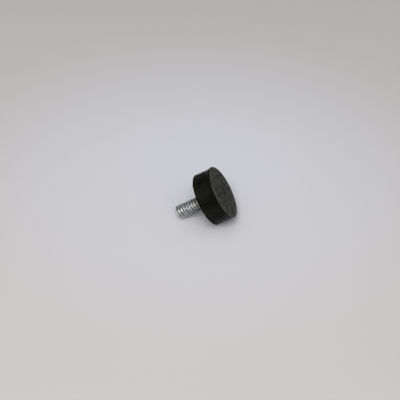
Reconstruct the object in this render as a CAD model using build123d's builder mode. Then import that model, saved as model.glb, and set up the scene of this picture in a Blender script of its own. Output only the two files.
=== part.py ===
from build123d import *
from math import asin, degrees, tan, radians
import os

# A screw-in rubber foot: a round moulded puck that stands on its flat floor face, with a
# zinc-plated hexagon bolt vulcanised into it. The bolt's threaded end stands out of the
# puck's other face, the mounting face, and goes into the thing that the foot carries.
# Millimetres. +Z is up along the bolt, and the origin is the centre of the floor face.

# Puck, fifteen sixteenths of an inch across
FLOOR_FACE_DIAMETER = 23.8
MOUNTING_FACE_DIAMETER = 23.54
WAIST_DIAMETER = 23.12
PUCK_HEIGHT = 8.65
WAIST_HEIGHT = 3.1
LIP_LAND_HEIGHT = 0.75
FLOOR_RIM_ROUNDING = 0.5
MOUNTING_RIM_CHAMFER = 0.35
DIMPLE_DIAMETER = 4.8
DIMPLE_DEPTH = 0.35
DIMPLE_EDGE_ROUNDING = 0.6

# Bolt, a quarter-inch one with 20 threads to the inch, five eighths of an inch long,
# with a sixteenth of an inch of rubber over the underside of its head
THREAD_DIAMETER = 6.35
THREAD_PITCH = 1.27
UNDER_HEAD_LENGTH = 15.875
RUBBER_OVER_HEAD = 1.5875
HEAD_ACROSS_FLATS = 11.11
HEAD_HEIGHT = 3.97
HEAD_CORNER_ANGLE = 30.0
WASHER_FACE_HEIGHT = 0.38
WASHER_FACE_RATIO = 0.95

# An external thread of this form is 0.6134 of its pitch deep, and the end is chamfered
# down to the bottom of the thread. The neck under the head has no thread: it is the blank
# that the thread was rolled on, as wide as the pitch diameter, and widens at 45 degrees.
THREAD_DEPTH = 0.6134 * THREAD_PITCH
NECK_DIAMETER = THREAD_DIAMETER - 0.6495 * THREAD_PITCH

head_seat_z = PUCK_HEIGHT - RUBBER_OVER_HEAD
head_end_z = head_seat_z - HEAD_HEIGHT
washer_face_z = head_seat_z - WASHER_FACE_HEIGHT

os.makedirs("parts", exist_ok=True)

# The bolt stands on its head, which is buried in the rubber: the six flats keep it from
# turning there, and the washer face under the head pulls on the rubber above it.
head_corner_radius = HEAD_ACROSS_FLATS / 3**0.5
head_flat_radius = HEAD_ACROSS_FLATS / 2
corner_drop = (head_corner_radius - head_flat_radius) * tan(radians(HEAD_CORNER_ANGLE))
thread_radius = THREAD_DIAMETER / 2
neck_radius = NECK_DIAMETER / 2

with BuildPart() as threaded_stud:
    with BuildSketch(Plane.XY.offset(head_end_z)):
        RegularPolygon(radius=head_flat_radius, side_count=6, major_radius=False)
    extrude(amount=HEAD_HEIGHT - WASHER_FACE_HEIGHT)
    # A cone takes the six corners off the head's free end.
    with BuildSketch(Plane.XZ):
        with BuildLine():
            Polyline(
                (0, head_end_z),
                (head_flat_radius, head_end_z),
                (head_corner_radius, head_end_z + corner_drop),
                (head_corner_radius, washer_face_z),
                (0, washer_face_z),
                close=True,
            )
        make_face()
    revolve(axis=Axis.Z, mode=Mode.INTERSECT)
    with BuildSketch(Plane.XY.offset(washer_face_z)):
        Circle(head_flat_radius * WASHER_FACE_RATIO)
    extrude(amount=WASHER_FACE_HEIGHT)
    # The neck ends where the rubber does, so the thread is full at the mounting face.
    with BuildSketch(Plane.XZ):
        with BuildLine():
            Polyline(
                (0, head_seat_z),
                (neck_radius, head_seat_z),
                (neck_radius, PUCK_HEIGHT - (thread_radius - neck_radius)),
                (thread_radius, PUCK_HEIGHT),
                (thread_radius, head_seat_z + UNDER_HEAD_LENGTH),
                (0, head_seat_z + UNDER_HEAD_LENGTH),
                close=True,
            )
        make_face()
    revolve(axis=Axis.Z)
    stud_end = threaded_stud.edges().filter_by(GeomType.CIRCLE).sort_by(Axis.Z)[-1]
    chamfer(stud_end, length=THREAD_DEPTH)
threaded_stud.part.label = "threaded_stud"

# The puck is turned from one half section. Its side leans in from the mounting rim down to
# a waist, then flares out in one arc to the short upright land of the lip at the floor.
floor_rim_radius = FLOOR_FACE_DIAMETER / 2
mounting_rim_radius = MOUNTING_FACE_DIAMETER / 2
waist_radius = WAIST_DIAMETER / 2
dimple_radius = DIMPLE_DIAMETER / 2
dimple_curve_radius = (dimple_radius**2 + DIMPLE_DEPTH**2) / (2 * DIMPLE_DEPTH)
dimple_angle = degrees(asin(dimple_radius / dimple_curve_radius))

with BuildPart() as rubber_body:
    with BuildSketch(Plane.XZ):
        with BuildLine():
            dimple = JernArc(
                start=(0, DIMPLE_DEPTH),
                tangent=(1, 0),
                radius=dimple_curve_radius,
                arc_size=-dimple_angle,
            )
            floor_line = Line(dimple @ 1, (floor_rim_radius, 0))
            land = Line(floor_line @ 1, (floor_rim_radius, LIP_LAND_HEIGHT))
            side = Line((mounting_rim_radius, PUCK_HEIGHT), (waist_radius, WAIST_HEIGHT))
            TangentArc(side @ 1, land @ 1, tangent=side % 1)
            Polyline(side @ 0, (0, PUCK_HEIGHT), dimple @ 0)
        make_face()
    revolve(axis=Axis.Z)
    rims = rubber_body.edges().filter_by(GeomType.CIRCLE).group_by(Axis.Z)
    mounting_rim = rims[-1]
    dimple_rim, floor_rim = rims[0].sort_by(SortBy.RADIUS)
    # The mounting rim is bevelled, where the rubber is trimmed at the mould's parting line.
    # The floor rim and the dimple's edge are rounded.
    chamfer(mounting_rim, length=MOUNTING_RIM_CHAMFER)
    fillet(floor_rim, radius=FLOOR_RIM_ROUNDING)
    fillet(dimple_rim, radius=DIMPLE_EDGE_ROUNDING)
    # The rubber is moulded round the bolt, so its pocket is the bolt's own form.
    add(threaded_stud.part, mode=Mode.SUBTRACT)
rubber_body.part.label = "rubber_body"

export_step(rubber_body.part, "parts/rubber_body.step")
export_step(threaded_stud.part, "parts/threaded_stud.step")
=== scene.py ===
import logging
import math
from dataclasses import dataclass, field
from enum import Enum
from typing import Any

import bpy
import numpy as np
from mathutils import Matrix, Vector


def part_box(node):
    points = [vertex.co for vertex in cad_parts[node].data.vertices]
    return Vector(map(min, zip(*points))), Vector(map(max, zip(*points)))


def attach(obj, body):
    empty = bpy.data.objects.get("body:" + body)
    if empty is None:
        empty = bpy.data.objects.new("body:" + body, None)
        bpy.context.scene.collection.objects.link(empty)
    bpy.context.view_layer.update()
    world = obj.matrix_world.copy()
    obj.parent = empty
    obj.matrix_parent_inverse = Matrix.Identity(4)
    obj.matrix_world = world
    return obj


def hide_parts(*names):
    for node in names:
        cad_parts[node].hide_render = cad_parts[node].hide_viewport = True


# The looks of a screw-in rubber foot: a moulded rubber puck and the zinc-plated bolt that
# it is vulcanised round. Metres, +Z up along the bolt, origin at the centre of the puck's
# floor face. The foot is stored standing on that face. The studio round it is turned, so
# that the camera sees it as it lies in the photograph, on its mounting rim and the stud's end.

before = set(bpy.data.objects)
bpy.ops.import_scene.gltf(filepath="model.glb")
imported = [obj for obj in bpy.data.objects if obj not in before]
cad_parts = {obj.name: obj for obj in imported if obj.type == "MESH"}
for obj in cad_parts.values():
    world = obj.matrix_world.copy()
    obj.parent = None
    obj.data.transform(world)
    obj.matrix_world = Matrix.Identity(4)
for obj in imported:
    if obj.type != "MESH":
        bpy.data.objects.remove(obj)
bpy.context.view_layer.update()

log = logging.getLogger("rubber_foot")

MM = 0.001
SHARP_ANGLE = math.radians(38.0)
CORNER_POINTS = 6
UNSTRETCHED = (1.0, 1.0, 1.0)
# A Mix node in colour mode: its two colour inputs and its colour output, by number.
MIX_UNDER, MIX_OVER, MIX_RESULT = 6, 7, 2


class Slot(Enum):
    """The record's material slots."""

    RUBBER = "black_rubber"
    ZINC = "zinc_plated_steel"


class Node(Enum):
    """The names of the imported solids."""

    PUCK = "rubber_body"
    BOLT = "threaded_stud"


def linear(hex_colour: str) -> tuple[float, float, float, float]:
    """Turns an sRGB colour, written as six hex digits, into linear light.

    Args:
        hex_colour: the colour, such as "1c1b18".

    Returns:
        Red, green, blue and an alpha of 1.
    """
    srgb = np.array([int(hex_colour[i:i + 2], 16) for i in (0, 2, 4)]) / 255.0
    light = np.where(srgb <= 0.04045, srgb / 12.92, ((srgb + 0.055) / 1.055) ** 2.4)
    return (*light.tolist(), 1.0)


def per_metre(size_mm: float) -> float:
    """Texture scale that gives a pattern one repeat in size_mm millimetres."""
    return 1.0 / (size_mm * MM)


def add_node(tree: bpy.types.NodeTree, kind: str, inputs: dict[Any, Any] | None = None,
             **settings: Any) -> bpy.types.Node:
    """Adds a node to a tree, sets its properties, and fills or links its inputs.

    Args:
        tree: the node tree.
        kind: the node's type, such as "ShaderNodeMath".
        inputs: socket name or number, to a value or to the output that feeds it.
        settings: the node's properties, such as operation.

    Returns:
        The new node.
    """
    node = tree.nodes.new(kind)
    for name, value in settings.items():
        setattr(node, name, value)
    for name, value in (inputs or {}).items():
        if isinstance(value, bpy.types.NodeSocket):
            tree.links.new(value, node.inputs[name])
        else:
            node.inputs[name].default_value = value
    return node


def where_all(tree: bpy.types.NodeTree,
              *conditions: bpy.types.NodeSocket | tuple[bpy.types.NodeSocket, float, float]
              ) -> bpy.types.NodeSocket:
    """A mask of the places where every condition holds: the product of their masks.

    Args:
        tree: the node tree.
        conditions: each is a mask, or a value with the two numbers at which its smooth
            mask is 0 and 1.

    Returns:
        The mask.
    """
    whole = None
    for condition in conditions:
        mask = condition
        if isinstance(condition, tuple):
            value, zero_at, one_at = condition
            mask = add_node(tree, "ShaderNodeMapRange", {
                "Value": value, "From Min": zero_at, "From Max": one_at},
                interpolation_type="SMOOTHSTEP").outputs["Result"]
        if whole is not None:
            mask = add_node(tree, "ShaderNodeMath", {0: whole, 1: mask},
                            operation="MULTIPLY").outputs["Value"]
        whole = mask
    return whole


def coat(tree: bpy.types.NodeTree, under: Any, over: Any, mask: bpy.types.NodeSocket,
         share: float = 1.0) -> bpy.types.NodeSocket:
    """Lays one colour over another through a mask.

    Args:
        tree: the node tree.
        under: the colour below, or the output that gives it.
        over: the colour above, or the output that gives it.
        mask: where the colour above lies.
        share: how much of the colour below it hides there.

    Returns:
        The mixed colour.
    """
    cover = add_node(tree, "ShaderNodeMath", {0: mask, 1: share},
                     operation="MULTIPLY").outputs["Value"]
    return add_node(tree, "ShaderNodeMix", {0: cover, MIX_UNDER: under, MIX_OVER: over},
                    data_type="RGBA").outputs[MIX_RESULT]


def relief(tree: bpy.types.NodeTree,
           layers: list[tuple[bpy.types.NodeSocket, tuple[float, float]]]
           ) -> bpy.types.NodeSocket:
    """Relief too fine to be geometry, laid on in layers.

    Args:
        tree: the node tree.
        layers: for each layer, the output that gives its height, with the layer's strength
            and its depth in millimetres.

    Returns:
        The normal.
    """
    normal = None
    for height, (strength, depth_mm) in layers:
        inputs = {"Strength": strength, "Distance": depth_mm * MM, "Height": height}
        if normal is not None:
            inputs["Normal"] = normal
        normal = add_node(tree, "ShaderNodeBump", inputs).outputs["Normal"]
    return normal


@dataclass(frozen=True)
class Patches:
    """Cloudy patches of a real size, read as they are or cut to a mask.

    Detail is how many finer layers they have. The mask is 0 where the noise is at low and
    1 where it is at high. A stretch under 1 draws the patches out along its axis, after
    they are turned round Z.
    """

    size_mm: float
    detail: float
    low: float = 0.0
    high: float = 1.0
    stretch: tuple[float, float, float] = UNSTRETCHED
    turn: float = 0.0

    def value(self, tree: bpy.types.NodeTree,
              place: bpy.types.NodeSocket) -> bpy.types.NodeSocket:
        """The noise itself.

        Args:
            tree: the node tree.
            place: the coordinates that it reads.

        Returns:
            Its value, about 0.5 on average.
        """
        if self.stretch != UNSTRETCHED:
            place = add_node(tree, "ShaderNodeMapping", {
                "Vector": place, "Rotation": (0.0, 0.0, self.turn),
                "Scale": self.stretch}).outputs["Vector"]
        return add_node(tree, "ShaderNodeTexNoise", {
            "Vector": place, "Scale": per_metre(self.size_mm),
            "Detail": self.detail}).outputs["Fac"]

    def mask(self, tree: bpy.types.NodeTree,
             place: bpy.types.NodeSocket) -> bpy.types.NodeSocket:
        """The patches cut to a mask."""
        return where_all(tree, (self.value(tree, place), self.low, self.high))


@dataclass(frozen=True)
class Spot:
    """What a finish reads of a point on the foot: its place, height and distance out."""

    place: bpy.types.NodeSocket
    height: bpy.types.NodeSocket
    from_axis: bpy.types.NodeSocket


def read_spot(tree: bpy.types.NodeTree) -> Spot:
    """Reads a point of the foot: its Z, and the length of its place without Z.

    Args:
        tree: the node tree.

    Returns:
        The outputs that give them.
    """
    place = add_node(tree, "ShaderNodeTexCoord").outputs["Object"]
    height = add_node(tree, "ShaderNodeSeparateXYZ", {0: place}).outputs["Z"]
    flat = add_node(tree, "ShaderNodeVectorMath", {0: place, 1: (1.0, 1.0, 0.0)},
                    operation="MULTIPLY").outputs["Vector"]
    from_axis = add_node(tree, "ShaderNodeVectorMath", {0: flat},
                         operation="LENGTH").outputs["Value"]
    return Spot(place, height, from_axis)


def new_material(name: str) -> tuple[bpy.types.Material, bpy.types.NodeTree, bpy.types.Node]:
    """Makes an empty material.

    Args:
        name: what the material is and how its surface was made.

    Returns:
        The material, its node tree and its shader.
    """
    material = bpy.data.materials.new(name)
    material.use_nodes = True
    return material, material.node_tree, material.node_tree.nodes["Principled BSDF"]


def straight(start: tuple[float, float], end: tuple[float, float], count: int) -> np.ndarray:
    """Points along a straight stretch of a profile: start plus a share of end minus start.

    Args:
        start: radius and height of the first point.
        end: radius and height of the last point.
        count: how many points.

    Returns:
        An array of count radii and heights.
    """
    share = np.linspace(0.0, 1.0, count)[:, None]
    return np.array(start) + share * (np.array(end) - np.array(start))


def arc(centre: tuple[float, float], radius: float, first: float, last: float,
        count: int) -> np.ndarray:
    """Points along a round stretch of a profile: centre plus radius times cosine and sine.

    Args:
        centre: radius and height of the arc's centre.
        radius: the arc's radius.
        first: angle of the first point above the outward direction, in radians.
        last: angle of the last point.
        count: how many points.

    Returns:
        An array of count radii and heights.
    """
    angle = np.linspace(first, last, count)
    return np.array(centre) + radius * np.stack([np.cos(angle), np.sin(angle)], axis=1)


def softened(corner: np.ndarray, before: float, after: float, radius: float) -> np.ndarray:
    """An outward corner of a profile, rounded off between the directions that its sides face.

    The arc's centre lies inside the corner, where the distance to both sides is the radius.

    Args:
        corner: radius and height of the corner.
        before: angle that the side before it faces, above the outward direction, in radians.
        after: angle that the side after it faces.
        radius: the rounding's radius.

    Returns:
        An array of CORNER_POINTS radii and heights.
    """
    middle = (before + after) / 2
    inset = radius / math.cos((after - before) / 2)
    centre = corner - inset * np.array([math.cos(middle), math.sin(middle)])
    return arc(tuple(centre), radius, before, after, CORNER_POINTS)


def closed_surface(name: str, points: np.ndarray) -> bpy.types.Object:
    """Makes a closed mesh of a grid of points that goes once round Z and from pole to pole.

    Each row is one ring, and its neighbours in the next row and column make a four-sided
    face. The first and last rows are drawn together in one point each, and close the ends.

    Args:
        name: the piece's name.
        points: array of rows, columns and 3 coordinates, its columns anticlockwise from above.

    Returns:
        The new object, smooth but for its sharp edges.
    """
    rows, columns = points.shape[:2]
    rings = points[1:-1]
    poles = points[[0, -1]].mean(axis=1)
    places = np.concatenate([rings.reshape(-1, 3), poles])
    ring = np.arange(rings.shape[0] * columns).reshape(rings.shape[0], columns)
    ahead = np.roll(ring, -1, axis=1)
    quads = np.stack([ring[:-1], ahead[:-1], ahead[1:], ring[1:]], axis=-1).reshape(-1, 4)
    first_pole, last_pole = len(places) - 2, len(places) - 1
    first_fan = np.stack([np.full(columns, first_pole), ahead[0], ring[0]], axis=-1)
    last_fan = np.stack([ring[-1], ahead[-1], np.full(columns, last_pole)], axis=-1)
    corners = np.concatenate([quads.ravel(), first_fan.ravel(), last_fan.ravel()])
    sides = np.concatenate([np.full(len(quads), 4), np.full(2 * columns, 3)])
    mesh = bpy.data.meshes.new(name)
    mesh.vertices.add(len(places))
    mesh.vertices.foreach_set("co", places.astype(np.float32).ravel())
    mesh.loops.add(len(corners))
    mesh.loops.foreach_set("vertex_index", corners.astype(np.int32))
    mesh.polygons.add(len(sides))
    mesh.polygons.foreach_set("loop_start", (np.cumsum(sides) - sides).astype(np.int32))
    mesh.polygons.foreach_set("loop_total", sides.astype(np.int32))
    mesh.update(calc_edges=True)
    mesh.shade_smooth()
    mesh.set_sharp_from_angle(angle=SHARP_ANGLE)
    piece = bpy.data.objects.new(name, mesh)
    bpy.context.scene.collection.objects.link(piece)
    return piece


def bearings(columns: int) -> np.ndarray:
    """The angles of a ring's columns round Z, in radians, with the hexagon's corners on six."""
    return np.arange(columns) * 2 * math.pi / columns


def round_z(radius: np.ndarray, height: np.ndarray, turn: np.ndarray) -> np.ndarray:
    """Places radii and heights round Z, the same at every bearing or different.

    Args:
        radius: array of rows, or of rows and columns.
        height: array of the same form.
        turn: the columns' bearings.

    Returns:
        Array of rows, columns and 3 coordinates.
    """
    shape = (len(radius), len(turn))
    radius = np.broadcast_to(radius.reshape(len(radius), -1), shape)
    height = np.broadcast_to(height.reshape(len(height), -1), shape)
    return np.stack([radius * np.cos(turn), radius * np.sin(turn), height], axis=-1)


def soft_step(value: np.ndarray, low: float, high: float) -> np.ndarray:
    """Smooth step: 0 below low, 1 above high, and 3 t squared less 2 t cubed between them."""
    share = np.clip((value - low) / (high - low), 0.0, 1.0)
    return share * share * (3.0 - 2.0 * share)


def unevenness(turn: np.ndarray, fewest: int, most: int, seed: int) -> np.ndarray:
    """Uneven run of values round a ring: a sum of whole waves with seeded sizes and phases.

    Args:
        turn: the bearings.
        fewest: the least number of waves in a full turn.
        most: the greatest number.
        seed: which run.

    Returns:
        One value for each bearing, about 0 on average and mostly between -2 and 2.
    """
    chance = np.random.default_rng(seed)
    waves = np.arange(fewest, most + 1)[:, None]
    phase = chance.uniform(0.0, 2 * math.pi, waves.shape)
    size = chance.normal(size=waves.shape)
    run = (size * np.sin(waves * turn + phase)).sum(axis=0)
    return run / math.sqrt((size ** 2).sum() / 2)


@dataclass(frozen=True)
class FaceMasks:
    """Masks of the rubber's floor face that its colour, gloss and relief share."""

    on_face: bpy.types.NodeSocket
    patches: bpy.types.NodeSocket
    patchy: bpy.types.NodeSocket
    scuffs: bpy.types.NodeSocket
    marks: bpy.types.NodeSocket


@dataclass(frozen=True)
class MouldedRubber:
    """Natural rubber filled with carbon black, compression moulded in a steel mould.

    The mould leaves a dense black skin with a faint waxy bloom that tints what it reflects,
    and drag marks up the side, where the puck was pushed out. The floor face has been
    scraped along a bench, so it is matter and greyer in soft patches, with scuffs in one
    direction and the turning marks of the mould's cavity as faint rings. Its outer edge is
    painted lighter: partly wear, partly a painted highlight where the edge catches the light.
    Dark dirt stays in the dimple, and dust in the torn skin under the trimmed flash.

    The fields that end in _at are the two places where a mask is 0 and 1, as shares of the
    size that they are used with. Those that end in _mm_at are millimetres in from an edge.
    Each relief is a strength and a depth in millimetres.
    """

    skin: str = "090906"
    skin_bloom: str = "15150f"
    scuffed: str = "33332a"
    scuffed_dark: str = "0e0e0a"
    # Lighter scuffed rubber, for the scuffs and for the face's outer edge, which is partly wear
    # and partly a painted highlight.
    rubbed_and_highlight: str = "4b4b42"
    dust: str = "56554e"
    wax: str = "fcffe0"
    ior: float = 1.52
    skin_sheen: float = 0.05
    lip_sheen: float = 0.4
    face_sheen: float = 0.2
    patchy_sheen: tuple[float, float] = (0.1, 1.9)
    skin_roughness: float = 0.4
    face_roughness: float = 0.6
    uneven_roughness: float = 0.22
    grain: Patches = Patches(0.14, 3.0)
    patches: Patches = Patches(3.0, 4.0)
    mottle: Patches = Patches(1.0, 3.0)
    ring_breaks: Patches = Patches(4.5, 2.0, 0.42, 0.66)
    scuffs: Patches = Patches(0.9, 3.0, 0.52, 0.7, (0.12, 1.0, 1.0), math.radians(28.0))
    bloom: Patches = Patches(5.0, 3.0, 0.42, 0.66)
    drags: Patches = Patches(0.5, 2.0, 0.56, 0.74, (1.0, 1.0, 0.1))
    torn: Patches = Patches(0.55, 1.0, 0.6, 0.68)
    specks: Patches = Patches(0.35, 1.0, 0.74, 0.8)
    tool_mark_mm: float = 0.85
    ring_at: tuple[float, float] = (0.1, 1.0)
    mottle_share: float = 0.7
    mottle_softness: float = 0.2
    scuff_share: float = 0.4
    ring_share: float = 0.5
    grime_share: float = 0.8
    drag_share: float = 0.35
    edge_wear_and_highlight_share: float = 0.8
    dust_share: float = 0.35
    face_at: tuple[float, float] = (0.4, 0.05)
    dimple_at: tuple[float, float] = (1.5, 1.2)
    grime_at: tuple[float, float] = (2.0, 0.4)
    grimy_patches_at: tuple[float, float] = (0.3, 0.6)
    edge_wear_and_highlight_patches_at: tuple[float, float] = (0.2, 0.6)
    polished_at: tuple[float, float] = (0.7, 0.3)
    edge_wear_and_highlight_mm_at: tuple[float, float] = (1.1, 0.7)
    torn_mm_at: tuple[float, float] = (2.2, 0.8)
    cut_mm_at: tuple[float, float] = (0.4, 0.7)
    moulded_mm_at: tuple[float, float] = (0.5, 1.4)
    grain_relief: tuple[float, float] = (0.5, 0.018)
    mark_relief: tuple[float, float] = (0.4, 0.02)
    patch_relief: tuple[float, float] = (0.5, 0.05)

    def material(self, puck: "Puck") -> bpy.types.Material:
        """Builds the rubber's material.

        Args:
            puck: the puck, whose sizes tell its floor face, lip and mounting face apart.

        Returns:
            The material.
        """
        material, tree, shader = new_material("compression_moulded_black_rubber")
        shader.inputs["IOR"].default_value = self.ior
        shader.inputs["Specular Tint"].default_value = linear(self.wax)
        spot = read_spot(tree)
        masks = self.face_masks(tree, spot, puck)
        tree.links.new(self.colour(tree, spot, masks, puck), shader.inputs["Base Color"])
        tree.links.new(self.sheen(tree, spot, masks, puck), shader.inputs["Specular IOR Level"])
        tree.links.new(self.roughness_of(tree, masks), shader.inputs["Roughness"])
        lines = add_node(tree, "ShaderNodeMath", {
            0: where_all(tree, masks.marks, masks.on_face), 1: masks.scuffs},
            operation="ADD").outputs["Value"]
        grain = self.grain.value(tree, spot.place)
        normal = relief(tree, [(grain, self.grain_relief), (lines, self.mark_relief),
                               (masks.patches, self.patch_relief)])
        tree.links.new(normal, shader.inputs["Normal"])
        return material

    def face_masks(self, tree: bpy.types.NodeTree, spot: Spot, puck: "Puck") -> FaceMasks:
        """The floor face's masks.

        The face is told by its height, and its dimple by its distance from the axis too.
        The mottling is fine and coarse patches added up, cut softly about their average.

        Args:
            tree: the material's node tree.
            spot: the point that is dressed.
            puck: the puck.

        Returns:
            The masks.
        """
        start, full = self.face_at
        flat = where_all(tree, (spot.height, puck.floor_rounding * start,
                                puck.floor_rounding * full))
        start, full = self.dimple_at
        hollow = where_all(tree, (spot.from_axis, puck.dimple_radius * start,
                                  puck.dimple_radius * full),
                           (spot.height, puck.waist_height, puck.land_height))
        on_face = add_node(tree, "ShaderNodeMath", {0: flat, 1: hollow},
                           operation="MAXIMUM").outputs["Value"]
        patches = self.patches.value(tree, spot.place)
        mottle = add_node(tree, "ShaderNodeMath", {
            0: self.mottle.value(tree, spot.place), 1: self.mottle_share, 2: patches},
            operation="MULTIPLY_ADD").outputs["Value"]
        average = 0.5 + 0.5 * self.mottle_share
        patchy = where_all(tree, (mottle, average - self.mottle_softness,
                                  average + self.mottle_softness))
        return FaceMasks(on_face, patches, patchy, self.scuffs.mask(tree, spot.place),
                         self.tool_marks(tree, spot))

    def tool_marks(self, tree: bpy.types.NodeTree, spot: Spot) -> bpy.types.NodeSocket:
        """Rings round the axis: the sine of the radius over the marks' pitch, broken up by noise.

        Args:
            tree: the material's node tree.
            spot: the point that is dressed.

        Returns:
            An output between 0 and 1.
        """
        turns = add_node(tree, "ShaderNodeMath", {
            0: spot.from_axis, 1: 2 * math.pi * per_metre(self.tool_mark_mm)},
            operation="MULTIPLY").outputs["Value"]
        wave = add_node(tree, "ShaderNodeMath", {0: turns}, operation="SINE").outputs["Value"]
        return where_all(tree, (wave, *self.ring_at), self.ring_breaks.mask(tree, spot.place))

    def colour(self, tree: bpy.types.NodeTree, spot: Spot, masks: FaceMasks,
               puck: "Puck") -> bpy.types.NodeSocket:
        """The colour: the moulded skin, the floor face over it, and wear and dust over both.

        The face's outer edge is painted lighter, partly wear and partly a painted highlight.

        Args:
            tree: the material's node tree.
            spot: the point that is dressed.
            masks: the floor face's masks.
            puck: the puck.

        Returns:
            The colour.
        """
        face = coat(tree, linear(self.scuffed_dark), linear(self.scuffed), masks.patchy)
        face = coat(tree, face, linear(self.rubbed_and_highlight), masks.scuffs, self.scuff_share)
        face = coat(tree, face, linear(self.scuffed_dark), masks.marks, self.ring_share)
        start, full = self.grime_at
        grimy = where_all(tree, (spot.from_axis, puck.dimple_radius * start,
                                 puck.dimple_radius * full),
                          (masks.patches, *self.grimy_patches_at))
        face = coat(tree, face, linear(self.skin), grimy, self.grime_share)

        bloom = self.bloom.mask(tree, spot.place)
        skin = coat(tree, linear(self.skin), linear(self.skin_bloom), bloom)
        drags = self.drags.mask(tree, spot.place)
        skin = coat(tree, skin, linear(self.skin_bloom), drags, self.drag_share)

        colour = coat(tree, skin, face, masks.on_face)
        # Painted highlight: the face's outer edge is painted lighter, partly wear and partly a
        # highlight where the edge catches the light.
        start, full = self.edge_wear_and_highlight_mm_at
        edge_wear_and_highlight = where_all(tree, masks.on_face, (spot.from_axis, puck.floor_radius - start * MM,
                                               puck.floor_radius - full * MM),
                         (masks.patches, *self.edge_wear_and_highlight_patches_at))
        colour = coat(tree, colour, linear(self.rubbed_and_highlight), edge_wear_and_highlight, self.edge_wear_and_highlight_share)
        start, full = self.torn_mm_at
        cut, below_cut = self.cut_mm_at
        torn = where_all(tree, (spot.height, puck.high - start * MM, puck.high - full * MM),
                         (spot.height, puck.high - cut * MM, puck.high - below_cut * MM),
                         self.torn.mask(tree, spot.place))
        for dusty in (torn, self.specks.mask(tree, spot.place)):
            colour = coat(tree, colour, linear(self.dust), dusty, self.dust_share)
        return colour

    def sheen(self, tree: bpy.types.NodeTree, spot: Spot, masks: FaceMasks,
              puck: "Puck") -> bpy.types.NodeSocket:
        """How much of the light each place reflects.

        The lip's rounding is polished by handling, and the trimmed rim is a dull cut. The
        face's scuffed patches catch more light at a low angle than the dark ones.

        Args:
            tree: the material's node tree.
            spot: the point that is dressed.
            masks: the floor face's masks.
            puck: the puck.

        Returns:
            The specular level.
        """
        cut, below_cut = self.moulded_mm_at
        moulded = where_all(tree, (spot.height, puck.high - cut * MM,
                                   puck.high - below_cut * MM))
        on_side = add_node(tree, "ShaderNodeMath", {0: moulded, 1: self.skin_sheen},
                           operation="MULTIPLY").outputs["Value"]
        start, full = self.polished_at
        polished = where_all(tree, (spot.height, puck.floor_rounding * start,
                                    puck.floor_rounding * full), (masks.on_face, 1.0, 0.0))
        on_rounding = add_node(tree, "ShaderNodeMath", {
            0: polished, 1: self.lip_sheen, 2: on_side}, operation="MULTIPLY_ADD").outputs["Value"]
        least, most = self.patchy_sheen
        catching = add_node(tree, "ShaderNodeMapRange", {
            "Value": masks.patchy, "To Min": least, "To Max": most}).outputs["Result"]
        return add_node(tree, "ShaderNodeMath", {
            0: where_all(tree, masks.on_face, catching), 1: self.face_sheen - self.skin_sheen,
            2: on_rounding}, operation="MULTIPLY_ADD").outputs["Value"]

    def roughness_of(self, tree: bpy.types.NodeTree, masks: FaceMasks) -> bpy.types.NodeSocket:
        """The roughness of the skin or of the face, a little uneven from patch to patch.

        Args:
            tree: the material's node tree.
            masks: the floor face's masks.

        Returns:
            The roughness.
        """
        matt = add_node(tree, "ShaderNodeMapRange", {
            "Value": masks.on_face, "To Min": self.skin_roughness,
            "To Max": self.face_roughness}).outputs["Result"]
        uneven = add_node(tree, "ShaderNodeMath", {
            0: masks.patches, 1: self.uneven_roughness, 2: -self.uneven_roughness / 2},
            operation="MULTIPLY_ADD").outputs["Value"]
        return add_node(tree, "ShaderNodeMath", {0: matt, 1: uneven},
                        operation="ADD").outputs["Value"]


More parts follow.
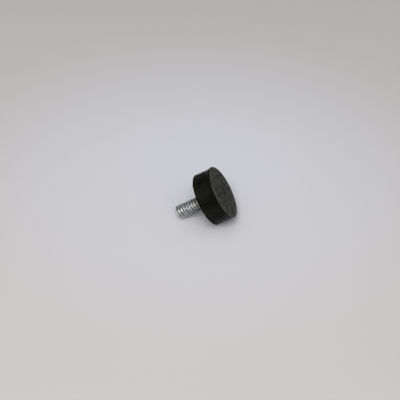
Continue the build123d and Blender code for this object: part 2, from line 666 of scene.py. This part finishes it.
@dataclass(frozen=True)
class ZincPlate:
    """Steel with a rolled thread and a thin bright zinc plate.

    The plate is a soft blue-white silver that mirrors the room dimly, cloudy from the
    plating bath. The rolls leave fine lines round the thread. The bottom of the thread is
    painted darker, partly oily dirt and partly painted shade in the roots, and an olive
    residue stains the thread, thickest near the rubber.

    The fields that end in _at, _mm_at and _relief are as in MouldedRubber.
    """

    plate: str = "eff0ef"
    cloud: str = "d7dad9"
    # Colour of the thread's roots: partly oily dirt, partly painted shade.
    grime_and_shade: str = "403f36"
    residue: str = "76734c"
    roughness: float = 0.32
    uneven_roughness: float = 0.2
    grimy_roughness: float = 0.2
    clouds: Patches = Patches(1.3, 4.0, 0.38, 0.62)
    stains: Patches = Patches(2.2, 3.0, 0.2, 0.55)
    rolled_lines: Patches = Patches(0.07, 2.0, stretch=(0.06, 0.06, 1.0))
    grain: Patches = Patches(0.1, 2.0)
    # Share of the roots' colour, partly oily dirt and partly painted shade.
    grime_share: float = 0.88
    residue_share: float = 0.8
    residue_reach_mm: float = 6.5
    root_at: tuple[float, float] = (0.25, 0.8)
    grime_and_shade_clouds_at: tuple[float, float] = (0.2, 0.6)
    thread_end_mm_at: tuple[float, float] = (0.05, 0.3)
    line_relief: tuple[float, float] = (0.2, 0.006)
    grain_relief: tuple[float, float] = (0.2, 0.006)

    def material(self, bolt: "Bolt") -> bpy.types.Material:
        """Builds the plate's material.

        Args:
            bolt: the bolt, whose sizes tell crests from roots and the rubber's end from the other.

        Returns:
            The material.
        """
        material, tree, shader = new_material("zinc_plated_rolled_steel")
        shader.inputs["Metallic"].default_value = 1.0
        spot = read_spot(tree)
        clouds = self.clouds.value(tree, spot.place)
        crest, root = self.root_at
        end, inside = self.thread_end_mm_at
        # Painted shade: the thread's roots are painted darker, partly oily dirt and partly the
        # shade that falls in them.
        root_grime_and_shade = where_all(tree, (spot.from_axis, bolt.crest_radius - crest * bolt.depth,
                                 bolt.crest_radius - root * bolt.depth),
                          (spot.height, bolt.high - end * MM, bolt.high - inside * MM),
                          (clouds, *self.grime_and_shade_clouds_at))
        reach = self.residue_reach_mm * MM
        stained = where_all(tree, (spot.height, bolt.mounting_height + reach,
                                   bolt.mounting_height), self.stains.mask(tree, spot.place))
        colour = coat(tree, linear(self.cloud), linear(self.plate),
                      where_all(tree, (clouds, self.clouds.low, self.clouds.high)))
        colour = coat(tree, colour, linear(self.grime_and_shade), root_grime_and_shade, self.grime_share)
        colour = coat(tree, colour, linear(self.residue), stained, self.residue_share)
        tree.links.new(colour, shader.inputs["Base Color"])

        dull = add_node(tree, "ShaderNodeMath", {
            0: clouds, 1: self.uneven_roughness, 2: self.roughness - self.uneven_roughness / 2},
            operation="MULTIPLY_ADD").outputs["Value"]
        roughness = add_node(tree, "ShaderNodeMath", {
            0: root_grime_and_shade, 1: self.grimy_roughness, 2: dull}, operation="MULTIPLY_ADD").outputs["Value"]
        tree.links.new(roughness, shader.inputs["Roughness"])

        # The rolls' lines follow the thread, so their noise is stretched along its round.
        lines = self.rolled_lines.value(tree, spot.place)
        grain = self.grain.value(tree, spot.place)
        normal = relief(tree, [(lines, self.line_relief), (grain, self.grain_relief)])
        tree.links.new(normal, shader.inputs["Normal"])
        return material


@dataclass
class Bolt:
    """The hexagon bolt: its head is buried in the rubber, its thread stands out of it."""

    mounting_height: float
    low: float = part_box(Node.BOLT.value)[0].z
    high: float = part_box(Node.BOLT.value)[1].z
    crest_radius: float = 3.175 * MM
    pitch: float = 1.27 * MM
    thread_start: float = 0.217
    across_flats: float = 11.11 * MM
    head_height: float = 3.97 * MM
    washer_face: float = 0.38 * MM
    washer_ratio: float = 0.95
    corner_angle: float = math.radians(30.0)
    crest_softness: float = 0.09
    crest_flat: float = 1 / 16
    flank_angle: float = math.radians(30.0)
    run_out: float = 0.5
    end_dish: float = 0.08 * MM
    dish_at: tuple[float, float] = (0.1, 0.9)
    columns: int = 192
    rows_per_pitch: int = 26
    corner_rows: int = 6
    head_end_rows: int = 4
    stud_end_rows: int = 9
    finish: ZincPlate = field(default_factory=ZincPlate)

    @property
    def depth(self) -> float:
        """Depth of an external thread of this form, 0.6134 of its pitch."""
        return 0.6134 * self.pitch

    @property
    def neck_radius(self) -> float:
        """Radius of the plain neck: half the pitch diameter, 0.6495 pitch under the major."""
        return self.crest_radius - 0.6495 * self.pitch / 2

    @property
    def seat(self) -> float:
        """Height of the washer face, where the neck starts."""
        return self.low + self.head_height

    def thread_radius(self, height: np.ndarray, turn: np.ndarray) -> np.ndarray:
        """Radius of the threaded shank.

        The phase is height over pitch less bearing over a full turn, which climbs as a
        right-handed thread does, from the share of a turn where the thread starts. The
        distance along Z from the nearest crest, less the crest's half width, over the
        tangent of the flank's angle, is how far the flank has fallen, held softly between
        0 and the thread's depth. Under the mounting face the thread runs out to the neck's
        radius, and near the end a cone of 45 degrees cuts the crests off.

        Args:
            height: heights, as a column.
            turn: bearings, as a row.

        Returns:
            Array of radii, rows by columns.
        """
        phase = height / self.pitch - turn / (2 * math.pi) + self.thread_start
        away = np.abs(phase - np.round(phase)) * self.pitch
        flank = (away - self.crest_flat * self.pitch) / math.tan(self.flank_angle)
        soft = self.crest_softness * self.depth
        fall = soft * np.logaddexp(0.0, flank / soft)
        left = 2 * soft * np.logaddexp(0.0, (self.depth - fall) / (2 * soft))
        threaded = self.crest_radius - self.depth + np.minimum(left, self.depth)
        full = soft_step(height, self.mounting_height - self.run_out * self.pitch,
                         self.mounting_height)
        blank = self.neck_radius + (threaded - self.neck_radius) * full
        cone = self.crest_radius - self.depth + (self.high - height)
        return np.minimum(blank, cone)

    def head_points(self, turn: np.ndarray) -> np.ndarray:
        """The buried head, from its free end to the washer face.

        The radius at a bearing is that of a hexagon, half the width across its flats over
        the cosine of the angle from the nearest flat's middle, and a cone from the flats'
        circle takes the corners off.

        Args:
            turn: the columns' bearings.

        Returns:
            Array of rows, columns and 3 coordinates.
        """
        flat = self.across_flats / 2
        sixth = math.pi / 3
        from_flat = turn % sixth - sixth / 2
        hexagon = flat / np.cos(from_flat)
        top = self.seat - self.washer_face
        drop = flat * (1 / math.cos(sixth / 2) - 1) * math.tan(self.corner_angle)
        heights = np.append(self.low + np.linspace(0, drop, self.corner_rows), top)[:, None]
        cone = flat + (heights - self.low) / math.tan(self.corner_angle)
        sides = round_z(np.minimum(hexagon, cone), heights, turn)
        share = np.linspace(0, 1, self.head_end_rows + 1)[:-1]
        end = round_z(share * flat, np.full(self.head_end_rows, self.low), turn)
        washer = self.washer_ratio * flat
        rim = round_z(np.array([washer, washer]), np.array([top, self.seat]), turn)
        return np.concatenate([end, sides, rim])

    def shank_points(self, low: float, high: float, turn: np.ndarray) -> np.ndarray:
        """The shank's surface between two heights, both of them among its rows.

        Args:
            low: height of the first row.
            high: height of the last row.
            turn: the columns' bearings.

        Returns:
            Array of rows, columns and 3 coordinates.
        """
        count = int(math.ceil((high - low) / self.pitch * self.rows_per_pitch)) + 1
        heights = np.linspace(low, high, count)[:, None]
        return round_z(self.thread_radius(heights, turn), heights, turn)

    def end_points(self, turn: np.ndarray) -> np.ndarray:
        """The stud's cut end: a flat disc, its middle a little dished by the shear.

        Args:
            turn: the columns' bearings.

        Returns:
            Array of rows, columns and 3 coordinates.
        """
        share = np.linspace(1.0, 0.0, self.stud_end_rows + 1)[1:]
        dish = self.end_dish * soft_step(1.0 - share, *self.dish_at)
        return round_z((self.crest_radius - self.depth) * share, self.high - dish, turn)

    def pocket_points(self, turn: np.ndarray) -> np.ndarray:
        """The part of the bolt's surface that the rubber is moulded round."""
        return np.concatenate([self.head_points(turn),
                               self.shank_points(self.seat, self.mounting_height, turn)])

    def build(self) -> bpy.types.Object:
        """Builds and dresses the bolt, and puts it in place of its solid.

        Returns:
            The piece.
        """
        turn = bearings(self.columns)
        stud = self.shank_points(self.mounting_height, self.high, turn)[1:]
        points = np.concatenate([self.pocket_points(turn), stud, self.end_points(turn)])
        piece = closed_surface("zinc_plated_bolt", points)
        piece.data.materials.append(self.finish.material(self))
        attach(piece, "root")
        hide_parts(Node.BOLT.value)
        return piece


@dataclass
class Puck:
    """The moulded rubber puck, with its pocket for the bolt."""

    high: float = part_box(Node.PUCK.value)[1].z
    floor_radius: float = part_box(Node.PUCK.value)[1].x
    mounting_radius: float = 11.77 * MM
    waist_radius: float = 11.56 * MM
    waist_height: float = 3.1 * MM
    land_height: float = 0.75 * MM
    floor_rounding: float = 0.5 * MM
    bevel: float = 0.35 * MM
    bevel_softness: float = 0.09 * MM
    dimple_radius: float = 2.9 * MM
    dimple_depth: float = 0.3 * MM
    flash_height: float = 0.09 * MM
    flash_width: float = 0.1 * MM
    nib_height: float = 0.55 * MM
    nib_width: float = 0.4 * MM
    nib_bearing: float = math.radians(300.0)
    flash_reach: float = 0.45 * MM
    trim_level: float = 0.55
    trim_wave: float = 0.3
    trim_nick: float = 0.25
    trim_most: float = 1.6
    ring_sag: float = 0.03 * MM
    columns: int = 360
    dimple_rows: int = 16
    floor_rows: int = 24
    rim_rows: int = 10
    flare_rows: int = 14
    side_rows: int = 14
    flash_rows: int = 12
    face_rows: int = 18
    face_crowding: float = 1.5
    finish: MouldedRubber = field(default_factory=MouldedRubber)

    def profile(self) -> np.ndarray:
        """The outside in half section, from the floor face's centre to the mounting face.

        The dimple is a raised cosine. The flare is the arc that leaves the side's line at
        the waist and ends on top of the lip's land: its centre lies square to that line,
        and its radius is the chord squared over twice the chord's part along the square.

        Returns:
            Array of radii and heights.
        """
        dimple = np.linspace(0.0, self.dimple_radius, self.dimple_rows)
        hollow = self.dimple_depth * 0.5 * (1 + np.cos(math.pi * dimple / self.dimple_radius))
        flat_end = (self.floor_radius - self.floor_rounding, 0.0)
        floor = straight((self.dimple_radius, 0.0), flat_end, self.floor_rows)[1:]
        rim = arc((flat_end[0], self.floor_rounding), self.floor_rounding, -math.pi / 2, 0.0,
                  self.rim_rows)
        waist = np.array([self.waist_radius, self.waist_height])
        lean = math.atan2(self.mounting_radius - self.waist_radius, self.high - self.waist_height)
        outward = np.array([math.cos(lean), -math.sin(lean)])
        land = np.array([self.floor_radius, self.land_height])
        chord = land - waist
        radius = chord @ chord / (2 * chord @ outward)
        centre = waist + radius * outward
        from_centre = land - centre
        land_angle = math.atan2(from_centre[1], from_centre[0]) % (2 * math.pi)
        flare = arc(tuple(centre), radius, land_angle, math.pi - lean, self.flare_rows)
        corner = np.array([self.mounting_radius - self.bevel * math.sin(lean),
                           self.high - self.bevel * math.cos(lean)])
        face_edge = np.array([self.mounting_radius - self.bevel, self.high])
        bevel_angle = math.atan2(corner[0] - face_edge[0], face_edge[1] - corner[1])
        lower = softened(corner, -lean, bevel_angle, self.bevel_softness)
        upper = softened(face_edge, bevel_angle, math.pi / 2, self.bevel_softness)
        below_flash = corner - np.array([math.tan(lean), 1.0]) * self.flash_reach
        side = straight(tuple(waist), tuple(below_flash), self.side_rows)[1:]
        flash_band = straight(tuple(below_flash), tuple(lower[0]), self.flash_rows)[1:-1]
        return np.concatenate([np.stack([dimple, hollow], axis=1), floor, rim[1:], flare,
                               side, flash_band, lower, upper])

    def outside_points(self, turn: np.ndarray) -> np.ndarray:
        """The profile carried round Z, with the trimmed flash and its nib added to the radius.

        The flash is a bell curve in height where the mould closed, at the bevel's lower edge.
        Its size goes up and down round the ring, as a hand-held knife trims it. The nib is
        a bell curve in height and bearing, where the knife left a tag of rubber.

        Args:
            turn: the columns' bearings.

        Returns:
            Array of rows, columns and 3 coordinates.
        """
        outside = self.profile()
        radius, height = outside[:, :1], outside[:, 1:]
        parting = self.high - self.bevel
        above = (height - parting) / self.flash_width
        trim = (self.trim_level + self.trim_wave * unevenness(turn, 3, 40, seed=11)
                + self.trim_nick * unevenness(turn, 40, 110, seed=12))
        flash = self.flash_height * np.clip(trim, 0.0, self.trim_most) * np.exp(-above ** 2)
        round_arc = (turn - self.nib_bearing) * self.mounting_radius / self.nib_width
        above_nib = (height - parting) / self.nib_width
        nib = self.nib_height * np.exp(-round_arc ** 2 - above_nib ** 2)
        outer = height > self.waist_height
        radius = radius + np.where(outer, flash + nib, 0.0)
        sag = self.ring_sag * unevenness(turn, 2, 5, seed=13) * np.where(outer, 1.0, 0.0)
        return round_z(radius + sag * soft_step(height, self.waist_height, parting), height, turn)

    def mounting_face_points(self, rim: np.ndarray, mouth: np.ndarray) -> np.ndarray:
        """The mounting face between its rim and the bolt.

        Each row is a share of the way from the rim to the bolt's surface, and the rows
        draw closer together towards the bolt.

        Args:
            rim: the rim's last ring of points.
            mouth: the ring where the bolt comes out.

        Returns:
            Array of rows, columns and 3 coordinates.
        """
        left = np.linspace(1.0, 0.0, self.face_rows)[1:-1] ** self.face_crowding
        share = (1.0 - left)[:, None, None]
        return rim[None] + share * (mouth - rim)[None]

    def build(self, bolt: Bolt) -> bpy.types.Object:
        """Builds and dresses the puck, and puts it in place of its solid.

        Args:
            bolt: the bolt that the rubber is moulded round.

        Returns:
            The piece.
        """
        turn = bearings(self.columns)
        outside = self.outside_points(turn)
        pocket = bolt.pocket_points(turn)[::-1]
        mounting_face = self.mounting_face_points(outside[-1], pocket[0])
        piece = closed_surface("moulded_rubber_puck",
                               np.concatenate([outside, mounting_face, pocket]))
        piece.data.materials.append(self.finish.material(self))
        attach(piece, "root")
        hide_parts(Node.PUCK.value)
        return piece


@dataclass
class Studio:
    """A pale table, soft light and a camera, set round the foot as it lies in the photograph.

    The table touches the puck's mounting rim and the stud's end. Its up direction leans
    away from the stored foot's +Z, at a bearing that leaves the table behind the foot in
    most other views. It is one-sided, so that from below it the foot still shows.
    """

    puck: Puck
    bolt: Bolt
    table_bearing: float = math.radians(45.0)
    camera_elevation: float = math.radians(39.2)
    camera_bearing: float = math.radians(90.0)
    camera_roll: float = math.radians(1.1)
    distance: float = 345.0 * MM
    clip_start: float = 0.01
    clip_end: float = 50.0
    lens: float = 72.0
    sensor: float = 36.0
    image_width: int = 400
    lamp_size: float = 0.4
    lamp_power: float = 3.0
    lamp_distance: float = 0.7
    lamp_elevation: float = math.radians(51.0)
    lamp_bearing: float = math.radians(10.0)
    room_elevation: float = math.radians(60.0)
    room_low: float = 0.2
    room_high: float = 1.0
    room_dark_at: float = 0.2
    room_bright_at: float = 1.0
    puck_pixel: tuple[float, float] = (6.3, 0.1)
    room_colour: str = "fafbff"
    table_half: float = 6.0
    # The paper's colour in the painted light behind the foot, and where that painted light has
    # fallen off.
    paper: str = "cdcdd1"
    paper_painted_falloff: str = "c2bebb"
    paper_roughness: float = 0.9
    paper_sheen: float = 0.1
    # Where the painted light on the paper starts to fall off, where it has, and where its middle
    # lies.
    painted_pool_inner: float = 10.0 * MM
    painted_pool_outer: float = 150.0 * MM
    painted_pool_behind_foot: float = 40.0 * MM
    painted_pool_past_stud: float = 8.0 * MM

    def lean(self) -> float:
        """Angle between the bolt's axis and the table.

        The table's line in half section touches the lower edge of the mounting rim's bevel
        and the last full crest of the thread.

        Returns:
            The angle in radians.
        """
        across = self.puck.mounting_radius - self.bolt.crest_radius
        along = self.bolt.high - self.bolt.depth - (self.puck.high - self.puck.bevel)
        return math.atan2(across, along)

    def table_axes(self) -> tuple[Vector, Vector, Vector]:
        """The table's directions.

        Returns:
            Up from it, along it under the stud, and along it towards the camera.
        """
        lean = self.lean()
        up = Vector((math.sin(self.table_bearing) * math.cos(lean),
                     -math.cos(self.table_bearing) * math.cos(lean), -math.sin(lean)))
        along = (Vector((0, 0, 1)) + math.sin(lean) * up).normalized()
        return up, along, up.cross(along)

    def make_table(self) -> None:
        """The table: a large flat sheet through the foot's two points of contact."""
        up, along, across = self.table_axes()
        crest = self.bolt.high - self.bolt.depth
        drop = -math.sin(self.lean()) * crest - math.cos(self.lean()) * self.bolt.crest_radius
        middle = up * drop
        half = self.table_half
        corners = [middle + along * x * half + across * y * half
                   for x, y in ((-1, -1), (1, -1), (1, 1), (-1, 1))]
        mesh = bpy.data.meshes.new("table")
        mesh.from_pydata([tuple(c) for c in corners], [], [(0, 1, 2, 3)])
        table = bpy.data.objects.new("table", mesh)
        bpy.context.scene.collection.objects.link(table)
        material, tree, shader = new_material("pale_matt_paper")
        # Painted light: a bright, faintly cool patch of light is painted on the paper behind the
        # foot, and the paper is painted greyer and warmer further out, where that painted light
        # falls off.
        painted_light_pool = middle + along * self.painted_pool_past_stud - across * self.painted_pool_behind_foot
        place = add_node(tree, "ShaderNodeTexCoord").outputs["Object"]
        reach = add_node(tree, "ShaderNodeVectorMath", {0: place, 1: tuple(painted_light_pool)},
                         operation="DISTANCE").outputs["Value"]
        outside = where_all(tree, (reach, self.painted_pool_inner, self.painted_pool_outer))
        paper = coat(tree, linear(self.paper), linear(self.paper_painted_falloff), outside)
        tree.links.new(paper, shader.inputs["Base Color"])
        shader.inputs["Roughness"].default_value = self.paper_roughness
        shader.inputs["Specular IOR Level"].default_value = self.paper_sheen
        behind = add_node(tree, "ShaderNodeNewGeometry").outputs["Backfacing"]
        clear = add_node(tree, "ShaderNodeBsdfTransparent").outputs["BSDF"]
        one_sided = add_node(tree, "ShaderNodeMixShader", {
            0: behind, 1: shader.outputs["BSDF"], 2: clear}).outputs["Shader"]
        tree.links.new(one_sided, tree.nodes["Material Output"].inputs["Surface"])
        mesh.materials.append(material)

    def make_light(self) -> None:
        """A large soft lamp over the camera, and a pale room that is darker behind the foot."""
        up, along, across = self.table_axes()
        lamp_data = bpy.data.lights.new("key_softbox", "AREA")
        lamp_data.shape = "DISK"
        lamp_data.size = self.lamp_size
        lamp_data.energy = self.lamp_power
        lamp = bpy.data.objects.new("key_softbox", lamp_data)
        bpy.context.scene.collection.objects.link(lamp)
        rise = self.lamp_elevation
        flat = across * math.cos(self.lamp_bearing) + along * math.sin(self.lamp_bearing)
        place = (up * math.sin(rise) + flat * math.cos(rise)) * self.lamp_distance
        turned = place.to_track_quat("Z", "Y").to_matrix().to_4x4()
        lamp.matrix_world = Matrix.Translation(place) @ turned
        world = bpy.data.worlds.new("room")
        bpy.context.scene.world = world
        world.use_nodes = True
        tree = world.node_tree
        look = add_node(tree, "ShaderNodeTexCoord").outputs["Generated"]
        bright = up * math.sin(self.room_elevation) + across * math.cos(self.room_elevation)
        towards = add_node(tree, "ShaderNodeVectorMath", {0: look, 1: tuple(bright)},
                           operation="DOT_PRODUCT").outputs["Value"]
        level = add_node(tree, "ShaderNodeMapRange", {
            "Value": towards, "From Min": self.room_dark_at, "From Max": self.room_bright_at,
            "To Min": self.room_low, "To Max": self.room_high},
            interpolation_type="SMOOTHSTEP").outputs["Result"]
        background = tree.nodes["Background"]
        background.inputs["Color"].default_value = linear(self.room_colour)
        tree.links.new(level, background.inputs["Strength"])

    def make_camera(self) -> None:
        """The camera, aimed so that the mounting face's centre falls on its pixel."""
        up, along, across = self.table_axes()
        flat = along * math.cos(self.camera_bearing) + across * math.sin(self.camera_bearing)
        back = flat * math.cos(self.camera_elevation) + up * math.sin(self.camera_elevation)
        right = up.cross(back).normalized()
        above = back.cross(right)
        roll = self.camera_roll
        right, above = (right * math.cos(roll) + above * math.sin(roll),
                        above * math.cos(roll) - right * math.sin(roll))
        camera_data = bpy.data.cameras.new("camera")
        camera_data.lens = self.lens
        camera_data.sensor_width = self.sensor
        camera_data.clip_start = self.clip_start
        camera_data.clip_end = self.clip_end
        camera = bpy.data.objects.new("camera", camera_data)
        bpy.context.scene.collection.objects.link(camera)
        per_pixel = self.sensor / self.lens / self.image_width * self.distance
        shift_x, shift_y = self.puck_pixel
        target = Vector((0, 0, self.puck.high)) - (right * shift_x + above * shift_y) * per_pixel
        camera.matrix_world = Matrix((
            (right.x, above.x, back.x, 0), (right.y, above.y, back.y, 0),
            (right.z, above.z, back.z, 0), (0, 0, 0, 1)))
        camera.location = target + back * self.distance
        bpy.context.scene.camera = camera

    def build(self) -> None:
        """Sets the table, the light and the camera."""
        self.make_table()
        self.make_light()
        self.make_camera()
        bpy.context.scene.view_settings.view_transform = "Standard"


def main() -> None:
    logging.basicConfig(level=logging.INFO, format="%(name)s: %(message)s")
    puck = Puck()
    bolt = Bolt(mounting_height=puck.high)
    for piece in (bolt.build(), puck.build(bolt)):
        log.info("%s: %d faces", piece.name, len(piece.data.polygons))
    studio = Studio(puck, bolt)
    studio.build()
    log.info("the bolt leans %.1f degrees from the table", math.degrees(studio.lean()))


if __name__ == "__main__":
    main()
